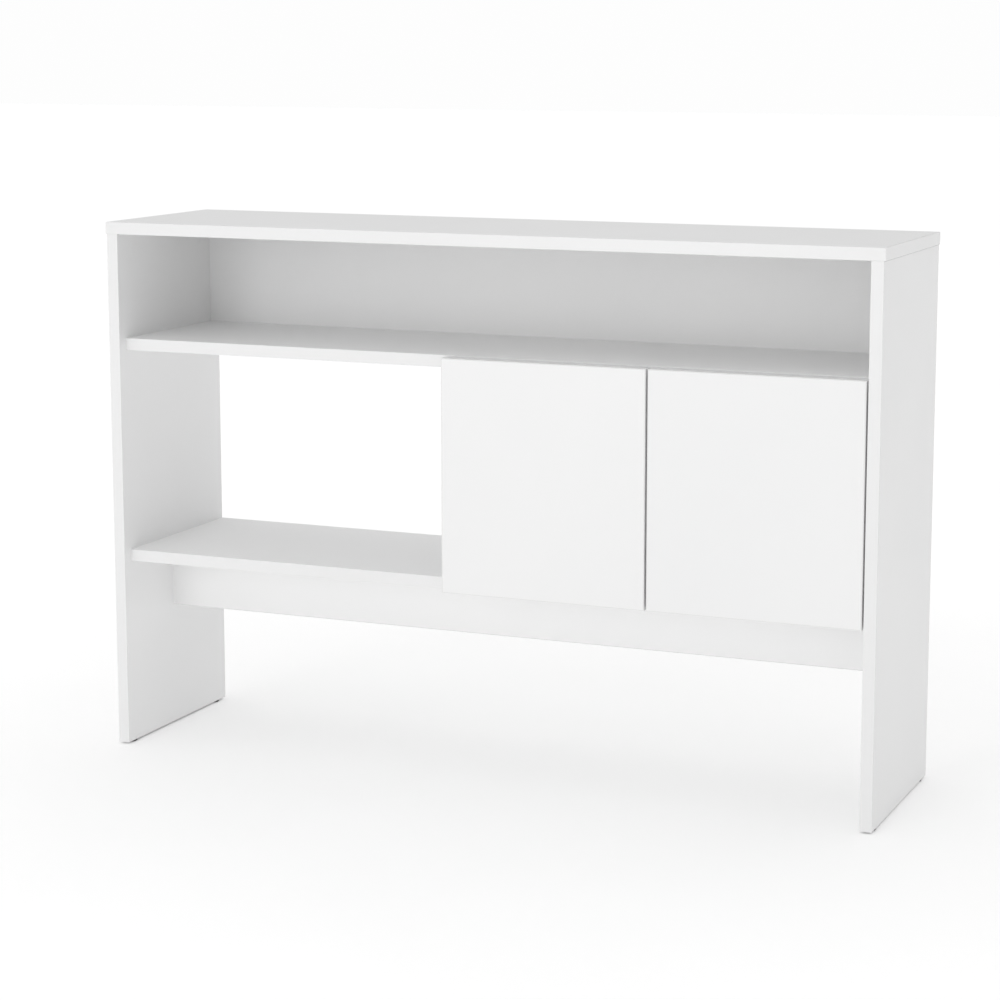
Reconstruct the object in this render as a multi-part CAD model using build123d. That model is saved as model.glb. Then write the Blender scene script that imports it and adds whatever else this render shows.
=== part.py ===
from build123d import *
import os
from math import atan2, degrees, hypot, sqrt

os.makedirs("parts", exist_ok=True)

# Console table of melamine-faced chipboard, millimetres.
# X runs along the table, Y to its back, Z up from the floor; the origin is on the floor under the middle.

# Overall sizes
top_length = 1190.0
table_depth = 300.0
table_height = 800.0

# Boards and their edge strips
board = 18.0
band = 1.0
band_round = 0.8
top_overhang = 1.5

# Levels and widths inside
upper_shelf_top = 625.0
lower_shelf_top = 302.0
cupboard_width = 605.5
stretcher_height = 93.0
upper_back_inset = 8.0
hardboard = 3.0
groove_depth = 6.0
groove_clearance = 0.2
hardboard_end_gap = 0.5

# Doors
door_board = 16.0
door_rear_gap = 2.0
door_middle_gap = 3.0
door_side_gap = 2.5
door_top_drop = 2.5
door_bottom_drop = 1.5

# Feet
glide_height = 3.0
glide_dia = 16.0
glide_inset = 23.0
glide_round = 1.0
nail_dia = 2.0
nail_length = 14.0
nail_head_low = 0.8
nail_head_height = 1.0

# Cam fittings and dowels
cam_back = 24.0
cam_dia = 14.8
cam_top_gap = 0.2
cam_slot = (8.0, 1.4, 3.0)
cam_bolt_room = 7.6
cam_bore_dia = 15.0
cam_bore_depth = board / 2 + 4.5
cam_height = board / 2 + 3.6
bolt_dia = 5.0
bolt_thread = 11.0
bolt_hole_dia = 8.0
cover_dia = 18.0
cover_thickness = 0.3
dowel_dia = 8.0
dowel_length = 30.0
dowel_in_face = 11.5
dowel_chamfer = 0.8
hole_clearance = 0.1
hole_end_gap = 2.0

# Distances of cams and dowels from the front and the back edge of the board they join
side_to_top = {"cams": (50.0, 60.0), "dowels": (90.0, 100.0)}
shelf_to_side = {"cams": (50.0, 50.0), "dowels": (92.0, 90.0)}
divider_to_shelf = {"cams": (72.0, 50.0), "dowels": (37.0, 110.0)}
back_cam_pitch = 400.0
rail_cam_pitch = 300.0
long_edge_dowel = 150.0
back_end_dowel = 45.0
rail_end_dowel = 28.0

# Screws: head diameter, head height, shank diameter, length under the head
cup_screw = (7.0, 1.6, 3.4, 12.0)
plate_screw = (8.0, 2.0, 5.0, 13.0)
arm_screw = (7.6, 2.0, 4.0, 8.0)
latch_screw = (6.6, 1.6, 3.4, 12.0)
screw_tip_gap = 0.4
screw_slot = (0.55, 0.8, 1.6)

# Concealed cup hinges. A door covers a panel's edge by hinge_overlay plus the door left beside the cup.
# Places in the hinge plane are (s, w): s from the door's hinge edge across the door, w from its rear
# face towards its front.
hinge_end_distance = 75.0
hinge_overlay = 13.0
cup_dia = 35.0
cup_depth = 12.0
cup_wall = 1.0
cup_from_edge = board - hinge_overlay + cup_dia / 2
cup_flange = 1.0
cup_screw_pitch = 45.0
cup_screw_offset = 9.5
outer_arm_pivot = (cup_from_edge + 10.9, -14.6)
outer_cup_pivot = (cup_from_edge - 11.7, 2.3)
outer_elbow = (cup_from_edge - 6.6, 5.05)
inner_arm_pivot = (cup_from_edge + 8.5, 2.4)
inner_cup_pivot = (cup_from_edge - 8.0, 4.4)
inner_elbow = (cup_from_edge - 0.3, 8.9)
inner_eye_play = 1.4
pin_dia = 2.0
link_half_width = 1.6
plate_screw_pitch = 32.0
plate_screw_back = 39.0
plate_sheet = 2.0
boss_height = 9.6
boss_half_width = 6.7
arm_height = 11.0
arm_sheet = 1.2
arm_half_width = 8.2
arm_screw_back = plate_screw_back + 11
ear_dia = 11.0

# Push latches
latch_edge_distance = 26.0
latch_length = 82.0
latch_half_width = 8.0
latch_foot_half_width = 15.0
latch_foot_height = 2.0
latch_screw_side = 11.5
latch_drop = 7.0
latch_end_wall = 4.0
plunger_dia = 9.0
plunger_play = 0.4
plunger_gap = 0.2
spring_room = 4.0
spring_dia = 7.0
spring_wire = 0.7
spring_turns = 5
magnet_dia = 6.0
magnet_depth = 3.0
strike_dia = 16.0
strike_thickness = 1.0

# Places worked out from the sizes above
half_top = top_length / 2
front = -table_depth / 2
back = table_depth / 2
side_outer = half_top - top_overhang
side_inner = side_outer - board
top_underside = table_height - board
shelf_front = front + door_board + door_rear_gap
upper_shelf_underside = upper_shelf_top - board
lower_shelf_underside = lower_shelf_top - board
divider_right = side_inner - cupboard_width
hinged_panels = {"left": (board, "divider"), "right": (-door_side_gap, "right_side_panel")}
divider_left = divider_right - board
upper_back_rear = back - upper_back_inset
upper_back_front = upper_back_rear - board
stretcher_bottom = lower_shelf_underside - stretcher_height
door_rear = front + door_board
door_top = upper_shelf_top - door_top_drop
door_bottom = lower_shelf_underside - door_bottom_drop
left_door_edge = divider_left
right_door_edge = side_inner - door_side_gap
door_width = (right_door_edge - left_door_edge - door_middle_gap) / 2
hinge_levels = {"upper": door_top - hinge_end_distance, "lower": door_bottom + hinge_end_distance}

nodes = {}
cuts = {}


def add(name, *solids):
    nodes.setdefault(name, []).extend(solids)


def cut(name, *tools):
    cuts.setdefault(name, []).extend(tools)


def block(low, high):
    size = [h - l for l, h in zip(low, high)]
    centre = [(l + h) / 2 for l, h in zip(low, high)]
    return Pos(*centre) * Box(*size)


def rod(start, direction, diameter, length):
    upright = Cylinder(diameter / 2, length, align=(Align.CENTER, Align.CENTER, Align.MIN))
    return Plane(origin=start, z_dir=direction) * upright


# Boards


def banded_board(name, low, high, banded):
    """A board with a rounded strip on each banded face, such as "-y"; the first strips run full length."""
    low, high = list(low), list(high)
    for face in banded:
        side, axis = face[0], "xyz".index(face[1])
        strip_low, strip_high = list(low), list(high)
        if side == "-":
            strip_high[axis] = low[axis] + band
            low[axis] += band
        else:
            strip_low[axis] = high[axis] - band
            high[axis] -= band
        strip = block(strip_low, strip_high)
        faces = strip.faces().sort_by((Axis.X, Axis.Y, Axis.Z)[axis])
        outer = faces[0] if side == "-" else faces[-1]
        long_edges = [edge for edge in outer.edges() if edge.length > 2 * board]
        add(name + "_edging", fillet(long_edges, band_round))
    add(name, block(low, high))


def make_boards():
    banded_board("top_panel", (-half_top, front, top_underside), (half_top, back, table_height),
                 ("-y", "+y", "-x", "+x"))
    for name, x0, x1 in (("left_side_panel", -side_outer, -side_inner),
                         ("right_side_panel", side_inner, side_outer)):
        banded_board(name, (x0, front, glide_height), (x1, back, top_underside), ("-y", "+y", "-z"))
    for name, top in (("upper_shelf", upper_shelf_top), ("lower_shelf", lower_shelf_top)):
        banded_board(name, (-side_inner, shelf_front, top - board), (side_inner, back, top), ("-y", "+y"))
    banded_board("divider", (divider_left, shelf_front, lower_shelf_top),
                 (divider_right, back, upper_shelf_underside), ("-y", "+y"))
    banded_board("stretcher_rail", (-side_inner, -board / 2, stretcher_bottom),
                 (side_inner, board / 2, lower_shelf_underside), ("-z",))
    add("upper_back_panel", block((-side_inner, upper_back_front, upper_shelf_top),
                                  (side_inner, upper_back_rear, top_underside)))
    for name, x0 in (("left_door", left_door_edge), ("right_door", right_door_edge - door_width)):
        banded_board(name, (x0, front, door_bottom), (x0 + door_width, door_rear, door_top),
                     ("-x", "+x", "-z", "+z"))


def make_cupboard_back():
    """Hardboard sheet held in grooves all round the cupboard."""
    y0, y1 = upper_back_rear - hardboard, upper_back_rear
    x0, x1 = divider_right - groove_depth, side_inner + groove_depth
    z0, z1 = lower_shelf_top - groove_depth, upper_shelf_underside + groove_depth
    groove = block((x0, y0 - groove_clearance, z0), (x1, y1 + groove_clearance, z1))
    for name in ("divider", "right_side_panel", "upper_shelf", "lower_shelf"):
        cut(name, groove)
    gap = hardboard_end_gap
    add("cupboard_back", block((x0 + gap, y0, z0 + gap), (x1 - gap, y1, z1 - gap)))


# Cam fittings, dowels and feet


def turned(profile):
    """A solid turned about Z from (radius, height) points."""
    return revolve(Plane.XZ * make_face(Polyline(*profile, close=True)), Axis.Z)


def cam_disc():
    """Cam with its bolt hole along +X and a cross slot on top; Z is 0 on the board's face."""
    hole_start, hole_end = -4.5, cam_dia / 2 + 1
    disc = Pos(0, 0, -cam_top_gap - cam_height / 2) * Cylinder(cam_dia / 2, cam_height)
    disc -= rod((hole_start, 0, -board / 2), (1, 0, 0), cam_bolt_room, hole_end - hole_start)
    length, width, depth = cam_slot
    for size in ((length, width, depth), (width, length, depth)):
        disc -= Pos(0, 0, -cam_top_gap - depth / 2) * Box(*size)
    return disc


def cam_bolt():
    """Cam bolt along +Z; Z is 0 at the cam's centre and the joint plane is at cam_back."""
    head, neck, collar = 3.1, 1.6, 3.6
    shaft = bolt_dia / 2
    end = cam_back + bolt_thread
    profile = [(0, -1.2), (head - 0.8, -1.2), (head, -0.4), (head, 1.2), (neck, 2.4), (neck, 9)]
    profile += [(shaft, 10), (shaft, cam_back - 6), (collar, cam_back - 5), (collar, cam_back)]
    profile += [(shaft, cam_back), (shaft, end - 1.5), (shaft - 1.2, end), (0, end)]
    return turned(profile)


def dowel():
    radius, start, end = dowel_dia / 2, dowel_in_face - dowel_length, dowel_in_face
    profile = [(0, start), (radius - dowel_chamfer, start), (radius, start + dowel_chamfer)]
    profile += [(radius, end - dowel_chamfer), (radius - dowel_chamfer, end), (0, end)]
    return turned(profile)


def cam_joint(host, mate, centre, outward, towards):
    """Cam in the host's face at centre; its bolt runs along towards, into the mate's face."""
    centre, outward, towards = Vector(*centre), Vector(*outward), Vector(*towards)
    axis = centre - outward * (board / 2)
    end = axis + towards * cam_back
    cut(host, rod(centre + outward, -outward, cam_bore_dia, cam_bore_depth + 1))
    cut(host, rod(axis, towards, bolt_hole_dia, cam_back + 1))
    cut(mate, rod(end - towards, towards, bolt_dia + hole_clearance, bolt_thread + 1.2))
    seat = Plane(origin=centre, x_dir=towards, z_dir=outward)
    add("cam_locks", seat * cam_disc())
    add("cam_covers", rod(centre, outward, cover_dia, cover_thickness))
    add("cam_bolts", Plane(origin=axis, z_dir=towards) * cam_bolt())


def dowel_joint(host, mate, point, towards):
    """Dowel across the joint plane at point, running into the mate along towards."""
    point, towards = Vector(*point), Vector(*towards)
    hole = dowel_dia + hole_clearance
    cut(mate, rod(point - towards, towards, hole, dowel_in_face + hole_end_gap))
    cut(host, rod(point + towards, -towards, hole, dowel_length - dowel_in_face + hole_end_gap))
    add("wood_dowels", Plane(origin=point, z_dir=towards) * dowel())


def along_depth(distances, front_edge):
    """The two Y places at these distances from a front edge and from the back edge."""
    return front_edge + distances[0], back - distances[1]


def join_sides():
    half = board / 2
    back_row = upper_back_rear - half
    back_middle = (upper_shelf_top + top_underside) / 2
    rail_middle = lower_shelf_underside - stretcher_height / 2
    for sign, side in ((-1, "left_side_panel"), (1, "right_side_panel")):
        inner, inward, outward = sign * side_inner, (-sign, 0, 0), (sign, 0, 0)
        cam_x = inner - sign * cam_back
        for y in along_depth(side_to_top["cams"], front):
            cam_joint(side, "top_panel", (inner, y, top_underside - cam_back), inward, (0, 0, 1))
        for y in along_depth(side_to_top["dowels"], front):
            dowel_joint(side, "top_panel", (inner + sign * half, y, top_underside), (0, 0, 1))
        for shelf, underside in (("upper_shelf", upper_shelf_underside),
                                 ("lower_shelf", lower_shelf_underside)):
            for y in along_depth(shelf_to_side["cams"], shelf_front):
                cam_joint(shelf, side, (cam_x, y, underside), (0, 0, -1), outward)
            for y in along_depth(shelf_to_side["dowels"], shelf_front):
                dowel_joint(shelf, side, (inner, y, underside + half), outward)
        cam_joint("upper_back_panel", side, (cam_x, upper_back_rear, back_middle), (0, 1, 0), outward)
        cam_joint("stretcher_rail", side, (cam_x, half, rail_middle), (0, 1, 0), outward)
        for offset in (-back_end_dowel, back_end_dowel):
            dowel_joint("upper_back_panel", side, (inner, back_row, back_middle + offset), outward)
        for offset in (-rail_end_dowel, rail_end_dowel):
            dowel_joint("stretcher_rail", side, (inner, 0, rail_middle + offset), outward)


def join_long_edges():
    up, down, rearward = (0, 0, 1), (0, 0, -1), (0, 1, 0)
    panel, rail, row = "upper_back_panel", "stretcher_rail", upper_back_rear - board / 2
    for x in (-back_cam_pitch, 0, back_cam_pitch):
        cam_joint(panel, "top_panel", (x, upper_back_rear, top_underside - cam_back), rearward, up)
        cam_joint(panel, "upper_shelf", (x, upper_back_rear, upper_shelf_top + cam_back), rearward, down)
    for x in (-rail_cam_pitch, 0, rail_cam_pitch):
        cam_joint(rail, "lower_shelf", (x, board / 2, lower_shelf_underside - cam_back), rearward, up)
    for x in (-long_edge_dowel, long_edge_dowel):
        dowel_joint(panel, "top_panel", (x, row, top_underside), up)
        dowel_joint(panel, "upper_shelf", (x, row, upper_shelf_top), down)
        dowel_joint(rail, "lower_shelf", (x, 0, lower_shelf_underside), up)


def join_divider():
    middle = divider_right - board / 2
    for end, sign, shelf in ((upper_shelf_underside, 1, "upper_shelf"), (lower_shelf_top, -1, "lower_shelf")):
        cam_z = end - sign * cam_back
        for y in along_depth(divider_to_shelf["cams"], shelf_front):
            cam_joint("divider", shelf, (divider_right, y, cam_z), (1, 0, 0), (0, 0, sign))
        for y in along_depth(divider_to_shelf["dowels"], shelf_front):
            dowel_joint("divider", shelf, (middle, y, end), (0, 0, sign))


def make_feet():
    up, head_dia, head_top = (0, 0, 1), 3 * nail_dia, nail_head_low + nail_head_height
    for x in (-side_outer + board / 2, side_outer - board / 2):
        for y in (front + glide_inset, back - glide_inset):
            glide = rod((x, y, 0), up, glide_dia, glide_height)
            glide = fillet(glide.edges().sort_by(Axis.Z)[:1], glide_round)
            low = (x, y, nail_head_low)
            nail = rod(low, up, nail_dia, nail_length) + rod(low, up, head_dia, nail_head_height)
            clearance = rod(low, up, nail_dia + hole_clearance, nail_length + hole_clearance)
            recess = rod((x, y, -1), up, head_dia + hole_clearance, head_top + 1)
            add("floor_glides", glide - clearance - recess)
            add("glide_nails", nail)
            side = "left_side_panel" if x < 0 else "right_side_panel"
            cut(side, clearance)
            cut(side + "_edging", clearance)


# Hinges, drawn for a door hinged on its left: X is s, -Y is w, Z is 0 at the cup's centre


def strap(points, half_width, z0, z1):
    """Flat strap of rounded segments through (s, w) points, between two heights."""
    height, middle = z1 - z0, (z0 + z1) / 2
    shape = None
    for s, w in points:
        disc = Pos(s, -w, middle) * Cylinder(half_width, height)
        shape = disc if shape is None else shape + disc
    for (s0, w0), (s1, w1) in zip(points, points[1:]):
        length, angle = hypot(s1 - s0, w1 - w0), degrees(atan2(w0 - w1, s1 - s0))
        bar = Box(length, 2 * half_width, height)
        shape += Pos((s0 + s1) / 2, -(w0 + w1) / 2, middle) * Rot(0, 0, angle) * bar
    return shape


def eye(point, radius, z0, z1):
    return Pos(point[0], -point[1], (z0 + z1) / 2) * Cylinder(radius, z1 - z0)


def chord_half(s, radius):
    return sqrt(radius ** 2 - (cup_from_edge - s) ** 2)


# Layers of the linkage, as heights from the hinge's middle plane
inner_link_half = 2.2
tongue_layer = (2.5, 3.3)
outer_link_layer = (3.5, 5.5)
pin_hole_dia = pin_dia + 2 * 0.05


def make_cup():
    """Cup let into the door, its eared flange and the two lugs that carry the inner pin."""
    screw_s, screw_z = cup_from_edge + cup_screw_offset, cup_screw_pitch / 2
    screw_hole, lug_half, inside = 3.8, 2.2, cup_dia - 2 * cup_wall
    cup = rod((cup_from_edge, 0, 0), (0, -1, 0), cup_dia, cup_depth)
    cup += rod((cup_from_edge, 0, 0), (0, 1, 0), cup_dia + 2, cup_flange)
    cup += block((cup_from_edge + 2, 0, -screw_z), (screw_s + ear_dia / 2, cup_flange, screw_z))
    for z in (-screw_z, screw_z):
        cup += rod((screw_s, 0, z), (0, 1, 0), ear_dia, cup_flange)
    cup -= rod((cup_from_edge, 2 * cup_flange, 0), (0, -1, 0), inside, cup_depth - cup_wall + 2 * cup_flange)
    for z in (-screw_z, screw_z):
        cup -= rod((screw_s, 2 * cup_flange, z), (0, -1, 0), screw_hole, 3 * cup_flange)
    ear_low, ear_high = tongue_layer
    s, w = inner_cup_pivot
    for z0, z1 in ((ear_low, ear_high), (-ear_high, -ear_low)):
        cup += eye(inner_cup_pivot, lug_half, z0, z1)
        cup += block((s - lug_half, -(cup_depth - cup_wall / 2), z0), (s + lug_half, -w, z1))
    cup -= eye(inner_cup_pivot, pin_hole_dia / 2, -ear_high - 1, ear_high + 1)
    reach = cup_dia / 2 + 1
    cup -= eye(outer_cup_pivot, pin_hole_dia / 2, -reach, reach)
    return cup


def make_arm(panel):
    """Hinge arm over a mounting plate on a panel face at s = panel, with two tongues into the cup."""
    rear, cheek_front, web_front = plate_screw_back + 27, 24, 19.5
    side_lift, tongue_drop, tongue_width, narrow_width = 2.4, 3, 3.0, 2.3
    half, top = arm_half_width, panel + arm_height
    arm = block((panel + side_lift, cheek_front, -half), (top, rear, half))
    arm -= block((panel, cheek_front - 1, -half + arm_sheet), (top - arm_sheet, rear + 1, half - arm_sheet))
    arm += block((top - arm_sheet, web_front, -half), (top, cheek_front + 1, half))
    root = (top - tongue_drop, -cheek_front + 0.8)
    for z0, z1 in (tongue_layer, (-tongue_layer[1], -tongue_layer[0])):
        arm += strap([root, outer_arm_pivot], tongue_width, z0, z1)
        arm += strap([outer_arm_pivot, inner_arm_pivot], narrow_width, z0, z1)
    for point in (outer_arm_pivot, inner_arm_pivot):
        arm -= eye(point, pin_hole_dia / 2, -tongue_layer[1] - 1, tongue_layer[1] + 1)
    hole = arm_screw[2] + 2 * hole_clearance
    return arm - rod((top + 1, arm_screw_back, 0), (-1, 0, 0), hole, arm_sheet + 2)


def make_mounting_plate(panel):
    """Winged plate screwed to the panel, with the boss the arm sits over."""
    screw_z, ear, middle = plate_screw_pitch / 2, ear_dia / 2, plate_screw_back
    boss = block((panel, middle - 11, -boss_half_width), (panel + boss_height, middle + 19, boss_half_width))
    wing = block((panel, middle - ear, -screw_z), (panel + plate_sheet, middle + ear, screw_z))
    screw_hole, arm_hole = (size[2] + 2 * hole_clearance for size in (plate_screw, arm_screw))
    for z in (-screw_z, screw_z):
        wing += rod((panel, middle, z), (1, 0, 0), ear_dia, plate_sheet)
        wing -= rod((panel - 1, middle, z), (1, 0, 0), screw_hole, plate_sheet + 2)
    hole_top = panel + boss_height + 1
    return boss + wing - rod((hole_top, arm_screw_back, 0), (-1, 0, 0), arm_hole, boss_height - 0.5)


def make_links():
    layers = (outer_link_layer, (-outer_link_layer[1], -outer_link_layer[0]))
    outer = []
    for z0, z1 in layers:
        bar = strap([outer_cup_pivot, outer_elbow, outer_arm_pivot], link_half_width, z0, z1)
        for point in (outer_cup_pivot, outer_arm_pivot):
            bar += eye(point, 2.5, z0, z1)
            bar -= eye(point, pin_hole_dia / 2, z0 - 1, z1 + 1)
        outer.append(bar)
    half = inner_link_half
    inner = strap([inner_cup_pivot, inner_elbow, inner_arm_pivot], link_half_width, -half, half)
    inner += eye(inner_arm_pivot, 2.4, -half, half)
    inner += eye(inner_cup_pivot, pin_dia / 2 + inner_eye_play + 0.9, -half, half)
    inner -= eye(inner_arm_pivot, pin_hole_dia / 2, -half - 1, half + 1)
    inner -= eye(inner_cup_pivot, pin_dia / 2 + inner_eye_play, -half - 1, half + 1)
    return outer, inner


def screw(start, direction, head_dia, head_height, shank_dia, shank_length):
    """Cross-head screw; start is under its head and direction points down the shank."""
    start, direction = Vector(*start), Vector(*direction)
    body = rod(start, direction, shank_dia, shank_length) + rod(start, -direction, head_dia, head_height)
    slot = Plane(origin=start - direction * head_height, z_dir=direction)
    share, width, depth = screw_slot
    for length, across in ((head_dia * share, width), (width, head_dia * share)):
        body -= slot * Box(length, across, depth)
    return body


def fasten(node, host, start, direction, size, placed=lambda solid: solid):
    """Adds a screw to a node and cuts the hole for it in the board it goes into."""
    add(node, placed(screw(start, direction, *size)))
    cut(host, placed(rod(start, direction, size[2] + hole_clearance, size[3] + screw_tip_gap)))


def place_hinge(door, position):
    """Puts one hinge of a door in place and machines the door and its panel for it."""
    panel, host = hinged_panels[door]
    left = door == "left"
    edge = left_door_edge if left else right_door_edge
    spot = Pos(edge, door_rear, hinge_levels[position])

    def placed(solid):
        return spot * (solid if left else mirror(solid, about=Plane.YZ))

    outer, inner = make_links()
    tongue = tongue_layer[1]
    link = outer_link_layer[1]
    chord = chord_half(outer_cup_pivot[0] - pin_dia / 2, cup_dia / 2 - 2 * hole_clearance)
    screw_s, screw_z = cup_from_edge + cup_screw_offset, cup_screw_pitch / 2
    add(f"{door}_{position}_hinge_cup", placed(make_cup()))
    add(f"{door}_{position}_hinge_arm", placed(make_arm(panel)))
    add(f"{door}_{position}_mounting_plate", placed(make_mounting_plate(panel)))
    add(f"{door}_outer_links", *[placed(bar) for bar in outer])
    add(f"{door}_inner_links", placed(inner))
    add(f"{door}_cup_pins", placed(eye(outer_cup_pivot, pin_dia / 2, tongue, chord)),
        placed(eye(outer_cup_pivot, pin_dia / 2, -chord, -tongue)),
        placed(eye(inner_cup_pivot, pin_dia / 2, -tongue, tongue)))
    add("hinge_arm_pins", placed(eye(outer_arm_pivot, pin_dia / 2, -link, link)),
        placed(eye(inner_arm_pivot, pin_dia / 2, -tongue, tongue)))
    bore = rod((cup_from_edge, 1, 0), (0, -1, 0), cup_dia + 2 * hole_clearance, cup_depth + hole_clearance + 1)
    cut(f"{door}_door", placed(bore))
    for z in (-screw_z, screw_z):
        fasten(f"{door}_cup_screws", f"{door}_door", (screw_s, cup_flange, z), (0, -1, 0), cup_screw, placed)
    for z in (-plate_screw_pitch / 2, plate_screw_pitch / 2):
        start = (panel + plate_sheet, plate_screw_back, z)
        fasten("plate_screws", host, start, (-1, 0, 0), plate_screw, placed)
    add("arm_screws", placed(screw((panel + arm_height, arm_screw_back, 0), (-1, 0, 0), *arm_screw)))


def make_hinges():
    for door in hinged_panels:
        for position in hinge_levels:
            place_hinge(door, position)


# Push latches under the upper shelf


def latch_spring():
    """Spring pressed nearly solid along +Z from 0 to spring_room, with ends ground flat."""
    pitch = (spring_room + spring_wire / 3) / spring_turns
    path = Helix(pitch, pitch * spring_turns, (spring_dia - spring_wire) / 2)
    section = Plane(origin=path @ 0, z_dir=path % 0) * Circle(spring_wire / 2)
    coil = Pos(0, 0, -spring_wire / 6) * sweep(section, path, is_frenet=True)
    return coil & Pos(0, 0, spring_room / 2) * Box(2 * spring_dia, 2 * spring_dia, spring_room)


def make_latch(door, x):
    """Push latch under the upper shelf at x, with its plunger and the strike on the door."""
    underside = upper_shelf_underside
    axis_z = underside - latch_drop
    nose = shelf_front + door_rear_gap
    rear = nose + latch_length
    middle = (nose + rear) / 2
    half = latch_half_width
    body = block((x - half, nose, underside - 2 * latch_drop), (x + half, rear, underside))
    body = fillet(body.edges().filter_by(Axis.Y).sort_by(Axis.Z)[:2], 3)
    foot = block((x - latch_foot_half_width, nose + 10, underside - latch_foot_height),
                 (x + latch_foot_half_width, rear - 12, underside))
    bore = rod((x, rear - latch_end_wall, axis_z), (0, -1, 0), plunger_dia + plunger_play, latch_length)
    housing = body + foot - bore
    for offset in (-latch_screw_side, latch_screw_side):
        start = (x + offset, middle, underside - latch_foot_height)
        housing -= rod(start, (0, 0, 1), latch_screw[2] + 4 * hole_clearance, latch_foot_height)
        fasten("latch_screws", "upper_shelf", start, (0, 0, 1), latch_screw)
    add(f"{door}_latch_housing", housing)
    tip, end = door_rear + strike_thickness + plunger_gap, rear - latch_end_wall - spring_room
    plunger = rod((x, tip, axis_z), (0, 1, 0), plunger_dia, end - tip)
    plunger = fillet(plunger.edges().sort_by(Axis.Y)[:1], 0.8)
    plunger -= rod((x, tip - 1, axis_z), (0, 1, 0), magnet_dia + hole_clearance, magnet_depth + 1)
    add(f"{door}_latch_plunger", plunger)
    add(f"{door}_latch_spring", Plane(origin=(x, end, axis_z), z_dir=(0, 1, 0)) * latch_spring())
    add(f"{door}_latch_magnet", rod((x, tip, axis_z), (0, 1, 0), magnet_dia, magnet_depth))
    strike = rod((x, door_rear, axis_z), (0, 1, 0), strike_dia, strike_thickness)
    add(f"{door}_latch_strike", fillet(strike.edges().sort_by(Axis.Y)[-1:], 0.3))


def make_latches():
    make_latch("left", left_door_edge + door_width - latch_edge_distance)
    make_latch("right", right_door_edge - door_width + latch_edge_distance)


def write_parts():
    for name, solids in nodes.items():
        finished = []
        for solid in solids:
            shaped = solid.cut(*cuts[name]) if name in cuts else solid
            finished += list(shaped.solids())
        shape = finished[0] if len(finished) == 1 else Compound(finished)
        export_step(shape, f"parts/{name}.step")


make_boards()
make_cupboard_back()
join_sides()
join_long_edges()
join_divider()
make_feet()
make_hinges()
make_latches()
write_parts()
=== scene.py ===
import math

import bpy
from mathutils import Matrix, Vector


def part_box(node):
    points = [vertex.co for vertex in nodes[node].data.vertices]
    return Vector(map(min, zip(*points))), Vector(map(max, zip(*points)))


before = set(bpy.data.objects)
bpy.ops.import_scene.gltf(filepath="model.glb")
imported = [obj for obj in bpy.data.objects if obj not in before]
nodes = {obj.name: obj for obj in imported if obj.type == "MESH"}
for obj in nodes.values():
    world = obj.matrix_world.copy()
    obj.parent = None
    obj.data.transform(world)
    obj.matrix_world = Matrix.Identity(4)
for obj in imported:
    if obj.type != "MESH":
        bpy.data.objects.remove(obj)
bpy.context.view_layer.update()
print("frame loaded:", len(nodes), "nodes")


# Small helpers for node trees

class Tree:
    def __init__(self, name):
        self.material = bpy.data.materials.new(name)
        self.material.use_nodes = True
        self.nodes = self.material.node_tree.nodes
        self.links = self.material.node_tree.links
        self.shader = self.nodes["Principled BSDF"]
        self.coords = self.add("ShaderNodeTexCoord").outputs["Object"]

    def add(self, kind, **settings):
        node = self.nodes.new(kind)
        for key, value in settings.items():
            setattr(node, key, value)
        return node

    def plug(self, value, socket):
        if isinstance(value, bpy.types.NodeSocket):
            self.links.new(value, socket)
        else:
            socket.default_value = value

    def maths(self, operation, a, b=0.0):
        node = self.add("ShaderNodeMath", operation=operation)
        self.plug(a, node.inputs[0])
        self.plug(b, node.inputs[1])
        return node.outputs[0]

    def noise(self, scale, detail=3.0, roughness=0.5, stretch=(1, 1, 1), shift=(0, 0, 0)):
        place = self.add("ShaderNodeMapping")
        self.plug(self.coords, place.inputs["Vector"])
        place.inputs["Scale"].default_value = stretch
        place.inputs["Location"].default_value = shift
        node = self.add("ShaderNodeTexNoise")
        self.plug(place.outputs[0], node.inputs["Vector"])
        node.inputs["Scale"].default_value = scale
        node.inputs["Detail"].default_value = detail
        node.inputs["Roughness"].default_value = roughness
        return node.outputs["Fac"]

    def spread(self, value, low, high, fromLow=0.3, fromHigh=0.7):
        node = self.add("ShaderNodeMapRange")
        self.plug(value, node.inputs["Value"])
        node.inputs["From Min"].default_value = fromLow
        node.inputs["From Max"].default_value = fromHigh
        node.inputs["To Min"].default_value = low
        node.inputs["To Max"].default_value = high
        return node.outputs[0]

    def blend(self, amount, first, second):
        node = self.add("ShaderNodeMix", data_type="RGBA")
        self.plug(amount, node.inputs["Factor"])
        self.plug(first, node.inputs[6])
        self.plug(second, node.inputs[7])
        return node.outputs[2]

    def bump(self, height, distance, strength=1.0, under=None):
        node = self.add("ShaderNodeBump")
        node.inputs["Distance"].default_value = distance
        node.inputs["Strength"].default_value = strength
        self.plug(height, node.inputs["Height"])
        if under is not None:
            self.plug(under, node.inputs["Normal"])
        return node.outputs[0]

    def axes(self):
        node = self.add("ShaderNodeSeparateXYZ")
        self.plug(self.coords, node.inputs[0])
        return node.outputs

    # how far inside the named faces of a box a point lies; -x names the face at low x
    def edgeDistance(self, low, high, faces):
        axes = self.axes()
        nearest = None
        for face in faces:
            axis = "xyz".index(face[1])
            if face[0] == "-":
                gap = self.maths("SUBTRACT", axes[axis], low[axis])
            else:
                gap = self.maths("SUBTRACT", high[axis], axes[axis])
            nearest = gap if nearest is None else self.maths("MINIMUM", nearest, gap)
        return nearest


def grey(level, tint=(1, 1, 1)):
    return (level * tint[0], level * tint[1], level * tint[2], 1)


def dress(name, material):
    mesh = nodes[name].data
    mesh.materials.clear()
    mesh.materials.append(material)


# Melamine boards

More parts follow.
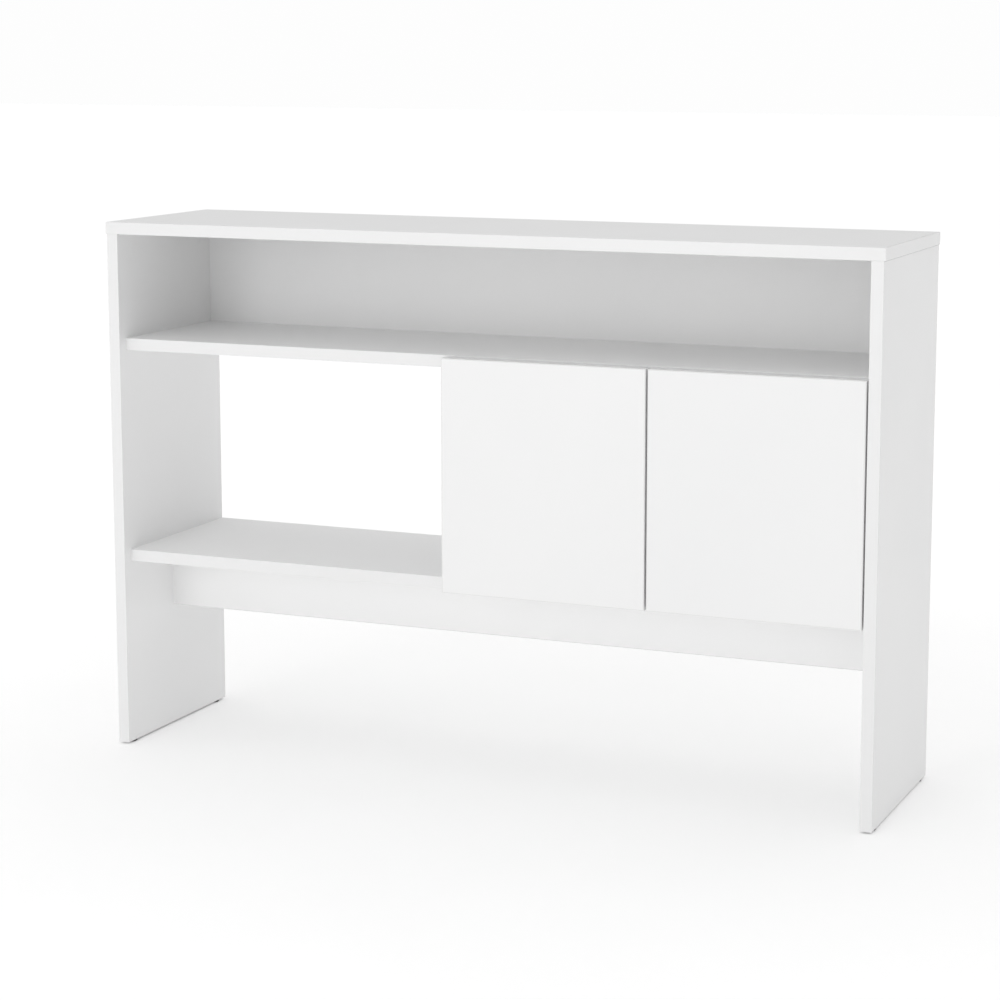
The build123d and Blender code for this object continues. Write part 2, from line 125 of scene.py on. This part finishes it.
boards = {
    "faceGrey": 0.925, "faceGreyDeep": 0.912,     # the two greys that drift across a face
    "faceTint": (1, 0.999, 0.997), "deepTint": (0.998, 0.999, 1), "driftScale": 2.2,
    "fleckScale": 900.0, "fleckGrey": 0.55, "fleckStrength": 0.025, "fleckRange": (0.45, 0.75),
    "roughness": (0.42, 0.52),
    "handledScale": 7.0, "handledRoughness": 0.07, "handledRange": (0.5, 0.72),     # duller in patches
    "grainScale": 1600.0, "grainHeight": 0.00002, "grainStrength": 0.6,
    "peelScale": 140.0, "peelHeight": 0.00003, "peelStrength": 0.5,                 # soft waves
    "ior": 1.5, "specular": 0.45,
    "jointCore": 0.00012, "jointWidth": 0.0003,   # hairline where the edge strip meets the face
    "jointGrey": 0.60, "jointTint": (1, 0.98, 0.94),
    "paintedShadeCore": 0.00045, "paintedShadeWidth": 0.0009, "paintedShadeGrey": 0.30,     # painted shade: a dark line under the table top's ends, standing in for the shadow where the top overhangs the side panels
    "paintedShadeLines": {"left_side_panel": ("+z",), "right_side_panel": ("+z",)},
    "banded": {
        "top_panel": ("-x", "+x", "-y", "+y"),
        "left_side_panel": ("-y", "+y", "-z"), "right_side_panel": ("-y", "+y", "-z"),
        "upper_shelf": ("-y", "+y"), "lower_shelf": ("-y", "+y"), "divider": ("-y", "+y"),
        "stretcher_rail": ("-z",), "upper_back_panel": (),
        "left_door": ("-x", "+x", "-z", "+z"), "right_door": ("-x", "+x", "-z", "+z"),
    },
}


# drift differs from board to board, as number moves it along
def makeMelamine(name, number):
    look = boards
    tree = Tree("melamine_" + name)
    shift = (0.37 * number, 0.61 * number, 0.23 * number)
    drift = tree.noise(look["driftScale"], 4, 0.55, shift=shift)
    fleck = tree.noise(look["fleckScale"], 2, 0.5)
    face = tree.blend(tree.spread(drift, 0, 1), grey(look["faceGrey"], look["faceTint"]),
                      grey(look["faceGreyDeep"], look["deepTint"]))
    face = tree.blend(tree.spread(fleck, 0, look["fleckStrength"], *look["fleckRange"]),
                      face, grey(look["fleckGrey"]))
    if look["banded"][name]:
        low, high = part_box(name)
        distance = tree.edgeDistance(low, high, look["banded"][name])
        joint = tree.spread(distance, 1, 0, look["jointCore"], look["jointWidth"])
        face = tree.blend(joint, face, grey(look["jointGrey"], look["jointTint"]))
    # painted shade line along the side panels' tops, where the table top's shadow falls
    if name in look["paintedShadeLines"]:
        low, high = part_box(name)
        distance = tree.edgeDistance(low, high, look["paintedShadeLines"][name])
        paintedShadeLine = tree.spread(distance, 1, 0, look["paintedShadeCore"], look["paintedShadeWidth"])
        face = tree.blend(paintedShadeLine, face, grey(look["paintedShadeGrey"]))
    tree.plug(face, tree.shader.inputs["Base Color"])
    handled = tree.noise(look["handledScale"], 5, 0.6, shift=shift)
    rough = tree.maths("ADD", tree.spread(drift, *look["roughness"]),
                       tree.spread(handled, 0, look["handledRoughness"], *look["handledRange"]))
    tree.plug(rough, tree.shader.inputs["Roughness"])
    grain = tree.noise(look["grainScale"], 2, 0.6)
    peel = tree.noise(look["peelScale"], 3, 0.5, shift=shift)
    waves = tree.bump(peel, look["peelHeight"], look["peelStrength"])
    relief = tree.bump(grain, look["grainHeight"], look["grainStrength"], waves)
    tree.plug(relief, tree.shader.inputs["Normal"])
    tree.shader.inputs["IOR"].default_value = look["ior"]
    tree.shader.inputs["Specular IOR Level"].default_value = look["specular"]
    return tree.material


for number, name in enumerate(boards["banded"]):
    dress(name, makeMelamine(name, number))
print("melamine faces done")


# ABS edge strips

strips = {
    "grey": 0.875, "wornGrey": 0.85, "wornTint": (1, 0.995, 0.985),
    "rubScale": 9.0, "rubStrength": 0.35, "rubRange": (0.52, 0.75),
    "roughness": (0.30, 0.42), "specular": 0.5,
    "lineScale": 1200.0, "lineHeight": 0.00002, "lineStrength": 0.5,
    "lineStretch": {"x": (0.05, 1, 1), "z": (1, 1, 0.05)},     # extrusion lines run along the strip
}


def makeEdgeStrip(along):
    look = strips
    tree = Tree("edgeStrip_" + along)
    lines = tree.noise(look["lineScale"], 3, 0.6, stretch=look["lineStretch"][along])
    rub = tree.noise(look["rubScale"], 5, 0.65)
    colour = tree.blend(tree.spread(rub, 0, look["rubStrength"], *look["rubRange"]), grey(look["grey"]),
                        grey(look["wornGrey"], look["wornTint"]))
    tree.plug(colour, tree.shader.inputs["Base Color"])
    tree.plug(tree.spread(lines, *look["roughness"]), tree.shader.inputs["Roughness"])
    tree.plug(tree.bump(lines, look["lineHeight"], look["lineStrength"]), tree.shader.inputs["Normal"])
    tree.shader.inputs["Specular IOR Level"].default_value = look["specular"]
    return tree.material


stripAlongX = makeEdgeStrip("x")
stripAlongZ = makeEdgeStrip("z")
for name in nodes:
    if name.endswith("_edging"):
        upright = name.startswith(("left_side", "right_side", "divider"))
        dress(name, stripAlongZ if upright else stripAlongX)
print("edge strips done")


# Hardboard behind the cupboard

hardboard = {
    "grey": 0.89, "cloudShade": 0.975, "cloudTint": (1, 0.998, 0.992), "cloudScale": 5.0,
    "roughness": (0.5, 0.65), "feltScale": 700.0, "feltHeight": 0.00004, "feltStrength": 0.7,
}


def makeHardboard():
    look = hardboard
    tree = Tree("whiteHardboard")
    felt = tree.noise(look["feltScale"], 4, 0.7)
    cloud = tree.noise(look["cloudScale"], 3, 0.5)
    cloudGrey = grey(look["grey"] * look["cloudShade"], look["cloudTint"])
    colour = tree.blend(tree.spread(cloud, 0, 1), grey(look["grey"]), cloudGrey)
    tree.plug(colour, tree.shader.inputs["Base Color"])
    tree.plug(tree.spread(felt, *look["roughness"]), tree.shader.inputs["Roughness"])
    tree.plug(tree.bump(felt, look["feltHeight"], look["feltStrength"]), tree.shader.inputs["Normal"])
    return tree.material


dress("cupboard_back", makeHardboard())
print("hardboard done")


# Plastics

plastics = {
    "coverFoil": {"grey": 0.91, "roughness": (0.42, 0.50), "speckle": 1200.0, "height": 0.00002},
    "latchHousing": {"grey": 0.76, "roughness": (0.32, 0.45), "speckle": 500.0, "height": 0.00003},
    "plungerGrey": {"grey": 0.22, "roughness": (0.30, 0.42), "speckle": 600.0, "height": 0.00002},
    "glideBlack": {"grey": 0.018, "roughness": (0.42, 0.60), "speckle": 350.0, "height": 0.00005},
}
scuffs = {"scale": 60.0, "strength": 0.6, "range": (0.5, 0.8), "shade": 0.9, "lift": 0.01}


def makePlastic(name):
    look = plastics[name]
    tree = Tree(name)
    speckle = tree.noise(look["speckle"], 3, 0.6)
    scuff = tree.noise(scuffs["scale"], 5, 0.7)
    scuffed = tree.spread(scuff, 0, scuffs["strength"], *scuffs["range"])
    scuffGrey = grey(look["grey"] * scuffs["shade"] + scuffs["lift"])
    tree.plug(tree.blend(scuffed, grey(look["grey"]), scuffGrey), tree.shader.inputs["Base Color"])
    tree.plug(tree.spread(scuff, *look["roughness"]), tree.shader.inputs["Roughness"])
    tree.plug(tree.bump(speckle, look["height"], 0.6), tree.shader.inputs["Normal"])
    return tree.material


# Metals

metals = {
    "hingeNickel": {
        "colour": (0.66, 0.655, 0.64), "roughness": (0.22, 0.38), "scale": 260.0, "stretch": (1, 1, 12),
    },
    "zincPlate": {"colour": (0.60, 0.61, 0.63), "roughness": (0.25, 0.42), "scale": 420.0},
    "castZinc": {"colour": (0.45, 0.46, 0.48), "roughness": (0.38, 0.58), "scale": 300.0},
    "springSteel": {"colour": (0.42, 0.42, 0.43), "roughness": (0.20, 0.34), "scale": 380.0},
    "magnetNickel": {"colour": (0.52, 0.52, 0.53), "roughness": (0.18, 0.30), "scale": 500.0},
}
tarnishLook = {"scale": 45.0, "range": (0.35, 0.75), "shade": (0.82, 0.81, 0.79)}
brushing = {"height": 0.00002, "strength": 0.5}


def makeMetal(name):
    look = metals[name]
    tree = Tree(name)
    clean = look["colour"]
    dull = [level * shade for level, shade in zip(clean, tarnishLook["shade"])]
    brushed = tree.noise(look["scale"], 4, 0.65, stretch=look.get("stretch", (1, 1, 1)))
    tarnish = tree.spread(tree.noise(tarnishLook["scale"], 4, 0.6), 0, 1, *tarnishLook["range"])
    tree.plug(tree.blend(tarnish, (*clean, 1), (*dull, 1)), tree.shader.inputs["Base Color"])
    tree.plug(tree.spread(brushed, *look["roughness"]), tree.shader.inputs["Roughness"])
    tree.plug(tree.bump(brushed, brushing["height"], brushing["strength"]), tree.shader.inputs["Normal"])
    tree.shader.inputs["Metallic"].default_value = 1.0
    return tree.material


# Dowels

wood = {
    "light": (0.62, 0.42, 0.25, 1), "dark": (0.46, 0.29, 0.16, 1),
    "poreScale": 240.0, "roughness": (0.55, 0.75), "poreDepth": 0.0001, "poreStrength": 0.6,
}


def makeBeech():
    look = wood
    tree = Tree("beechDowel")
    pores = tree.noise(look["poreScale"], 5, 0.7)
    colour = tree.blend(tree.spread(pores, 0, 1), look["light"], look["dark"])
    tree.plug(colour, tree.shader.inputs["Base Color"])
    tree.plug(tree.spread(pores, *look["roughness"]), tree.shader.inputs["Roughness"])
    tree.plug(tree.bump(pores, look["poreDepth"], look["poreStrength"]), tree.shader.inputs["Normal"])
    return tree.material


# Which fitting has which finish

fittings = {name: makePlastic(name) for name in plastics}
fittings.update({name: makeMetal(name) for name in metals})
fittings["beech"] = makeBeech()

fittingOf = {
    "cam_covers": "coverFoil", "floor_glides": "glideBlack", "cam_locks": "castZinc",
    "wood_dowels": "beech", "cam_bolts": "zincPlate", "glide_nails": "zincPlate",
    "hinge_arm_pins": "zincPlate", "arm_screws": "zincPlate", "plate_screws": "zincPlate",
    "latch_screws": "zincPlate",
}
for door in ("left", "right"):
    fittingOf.update({
        door + "_latch_housing": "latchHousing", door + "_latch_plunger": "plungerGrey",
        door + "_latch_magnet": "magnetNickel", door + "_latch_strike": "zincPlate",
        door + "_latch_spring": "springSteel",
        door + "_outer_links": "hingeNickel", door + "_inner_links": "hingeNickel",
        door + "_cup_pins": "zincPlate", door + "_cup_screws": "zincPlate",
    })
    for level in ("upper", "lower"):
        for piece in ("hinge_cup", "hinge_arm", "mounting_plate"):
            fittingOf[f"{door}_{level}_{piece}"] = "hingeNickel"
for name, fitting in fittingOf.items():
    dress(name, fittings[fitting])
print("fittings done")


# Floor

floorLook = {
    "size": 60.0, "grey": 0.86, "mottleScale": 3.0, "mottleShade": 0.985, "roughness": 0.9,
    "glowWithPaintedShade": (0.235, 0.335), "glowReach": (0.5, 1.7),     # the glow grows with distance from the middle; the dimmer glow near the table is painted shade around it
    "paintedContactShadowReach": (-0.006, 0.0),                      # and fades out just inside the side panels' outlines, a painted contact shadow under the panels
}


def makeFloor():
    look = floorLook
    mesh = bpy.data.meshes.new("studioFloor")
    half = look["size"] / 2
    corners = [(-half, -half, 0), (half, -half, 0), (half, half, 0), (-half, half, 0)]
    mesh.from_pydata(corners, [], [(0, 1, 2, 3)])
    floor = bpy.data.objects.new("studioFloor", mesh)
    bpy.context.scene.collection.objects.link(floor)
    tree = Tree("paleFloor")
    mottle = tree.noise(look["mottleScale"], 4, 0.5)
    shade = grey(look["grey"] * look["mottleShade"])
    colour = tree.blend(tree.spread(mottle, 0, 1), grey(look["grey"]), shade)
    tree.plug(colour, tree.shader.inputs["Base Color"])
    tree.shader.inputs["Roughness"].default_value = look["roughness"]
    tree.shader.inputs["Specular IOR Level"].default_value = 0.0
    tree.shader.inputs["Emission Color"].default_value = (1, 1, 1, 1)
    # glow dimmed near the table and cut under the side panels, both painted shade
    glowWithPaintedShade = tree.maths("MULTIPLY", floorGlowWithPaintedShade(tree), floorPaintedContactShadow(tree))
    tree.plug(glowWithPaintedShade, tree.shader.inputs["Emission Strength"])
    mesh.materials.append(tree.material)


# the floor glows, dimmer near the table: painted shade around the table
def floorGlowWithPaintedShade(tree):
    away = tree.add("ShaderNodeVectorMath", operation="LENGTH")
    tree.plug(tree.coords, away.inputs[0])
    return tree.spread(away.outputs["Value"], *floorLook["glowWithPaintedShade"], *floorLook["glowReach"])


# painted contact shadow: the floor glow fades to nothing under the side panels. The table is the same left
# and right, so one side panel's box gives both outlines
def floorPaintedContactShadow(tree):
    low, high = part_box("right_side_panel")
    axes = tree.axes()
    besideX = tree.maths("SUBTRACT", tree.maths("ABSOLUTE", axes["X"]), (low[0] + high[0]) / 2)
    besideX = tree.maths("SUBTRACT", tree.maths("ABSOLUTE", besideX), (high[0] - low[0]) / 2)
    besideY = tree.maths("SUBTRACT", tree.maths("ABSOLUTE", axes["Y"]), high[1])
    beside = tree.maths("MAXIMUM", besideX, besideY)
    return tree.spread(beside, 0, 1, *floorLook["paintedContactShadowReach"])


makeFloor()


# Light

studio = {
    "skyLean": (-0.10, 0.07, 1.16), "skyLeast": 0.5,     # brightest overhead, never under skyLeast
    "backdrop": 0.985,                                   # the same sky where the camera sees it
    "softbox": {"place": (-1.2, -5.5, 1.35), "aim": (0.0, 0.0, 0.55), "size": 3.0, "watts": 52.0},
}


def makeSky():
    world = bpy.data.worlds.new("studioSky")
    bpy.context.scene.world = world
    world.use_nodes = True
    nodeTree = world.node_tree
    nodeTree.nodes.clear()
    seen = nodeTree.nodes.new("ShaderNodeBackground")
    lit = nodeTree.nodes.new("ShaderNodeBackground")
    seen.inputs["Color"].default_value = (1, 1, 1, 1)
    lit.inputs["Color"].default_value = (1, 1, 1, 1)
    seen.inputs["Strength"].default_value = studio["backdrop"]
    direction = nodeTree.nodes.new("ShaderNodeTexCoord").outputs["Generated"]
    lean = nodeTree.nodes.new("ShaderNodeVectorMath")
    lean.operation = "DOT_PRODUCT"
    lean.inputs[1].default_value = studio["skyLean"]
    fade = nodeTree.nodes.new("ShaderNodeMath")
    fade.operation = "MAXIMUM"
    fade.inputs[1].default_value = studio["skyLeast"]
    path = nodeTree.nodes.new("ShaderNodeLightPath")
    mix = nodeTree.nodes.new("ShaderNodeMixShader")
    out = nodeTree.nodes.new("ShaderNodeOutputWorld")
    nodeTree.links.new(direction, lean.inputs[0])
    nodeTree.links.new(lean.outputs["Value"], fade.inputs[0])
    nodeTree.links.new(fade.outputs[0], lit.inputs["Strength"])
    nodeTree.links.new(path.outputs["Is Camera Ray"], mix.inputs[0])
    nodeTree.links.new(lit.outputs[0], mix.inputs[1])
    nodeTree.links.new(seen.outputs[0], mix.inputs[2])
    nodeTree.links.new(mix.outputs[0], out.inputs[0])


def makeSoftbox():
    look = studio["softbox"]
    light = bpy.data.lights.new("softbox", "AREA")
    light.shape = "DISK"
    light.size = look["size"]
    light.energy = look["watts"]
    lamp = bpy.data.objects.new("softbox", light)
    bpy.context.scene.collection.objects.link(lamp)
    place, aim = Vector(look["place"]), Vector(look["aim"])
    facing = (aim - place).to_track_quat("-Z", "Y").to_matrix().to_4x4()
    lamp.matrix_world = Matrix.Translation(place) @ facing


makeSky()
makeSoftbox()
bpy.context.scene.view_settings.view_transform = "Standard"
print("floor and light done")


# Camera

view = {
    "place": (1.46124, -3.44816, 1.07881), "turn": 0.39419, "dip": 0.15696, "roll": 0.00069,
    "lens": 92.715, "sensor": 36.0, "shift": (-0.03, -0.06), "clip": (0.05, 200.0),
}


def makeCamera():
    data = bpy.data.cameras.new("camera")
    data.sensor_width = view["sensor"]
    data.lens = view["lens"]
    data.shift_x, data.shift_y = view["shift"]
    data.clip_start, data.clip_end = view["clip"]
    camera = bpy.data.objects.new("camera", data)
    bpy.context.scene.collection.objects.link(camera)
    turn = Matrix.Rotation(view["turn"], 4, "Z")
    dip = Matrix.Rotation(math.pi / 2 - view["dip"], 4, "X")
    roll = Matrix.Rotation(view["roll"], 4, "Z")
    camera.matrix_world = Matrix.Translation(view["place"]) @ turn @ dip @ roll
    bpy.context.scene.camera = camera


makeCamera()
print("camera done")


print("scene done")
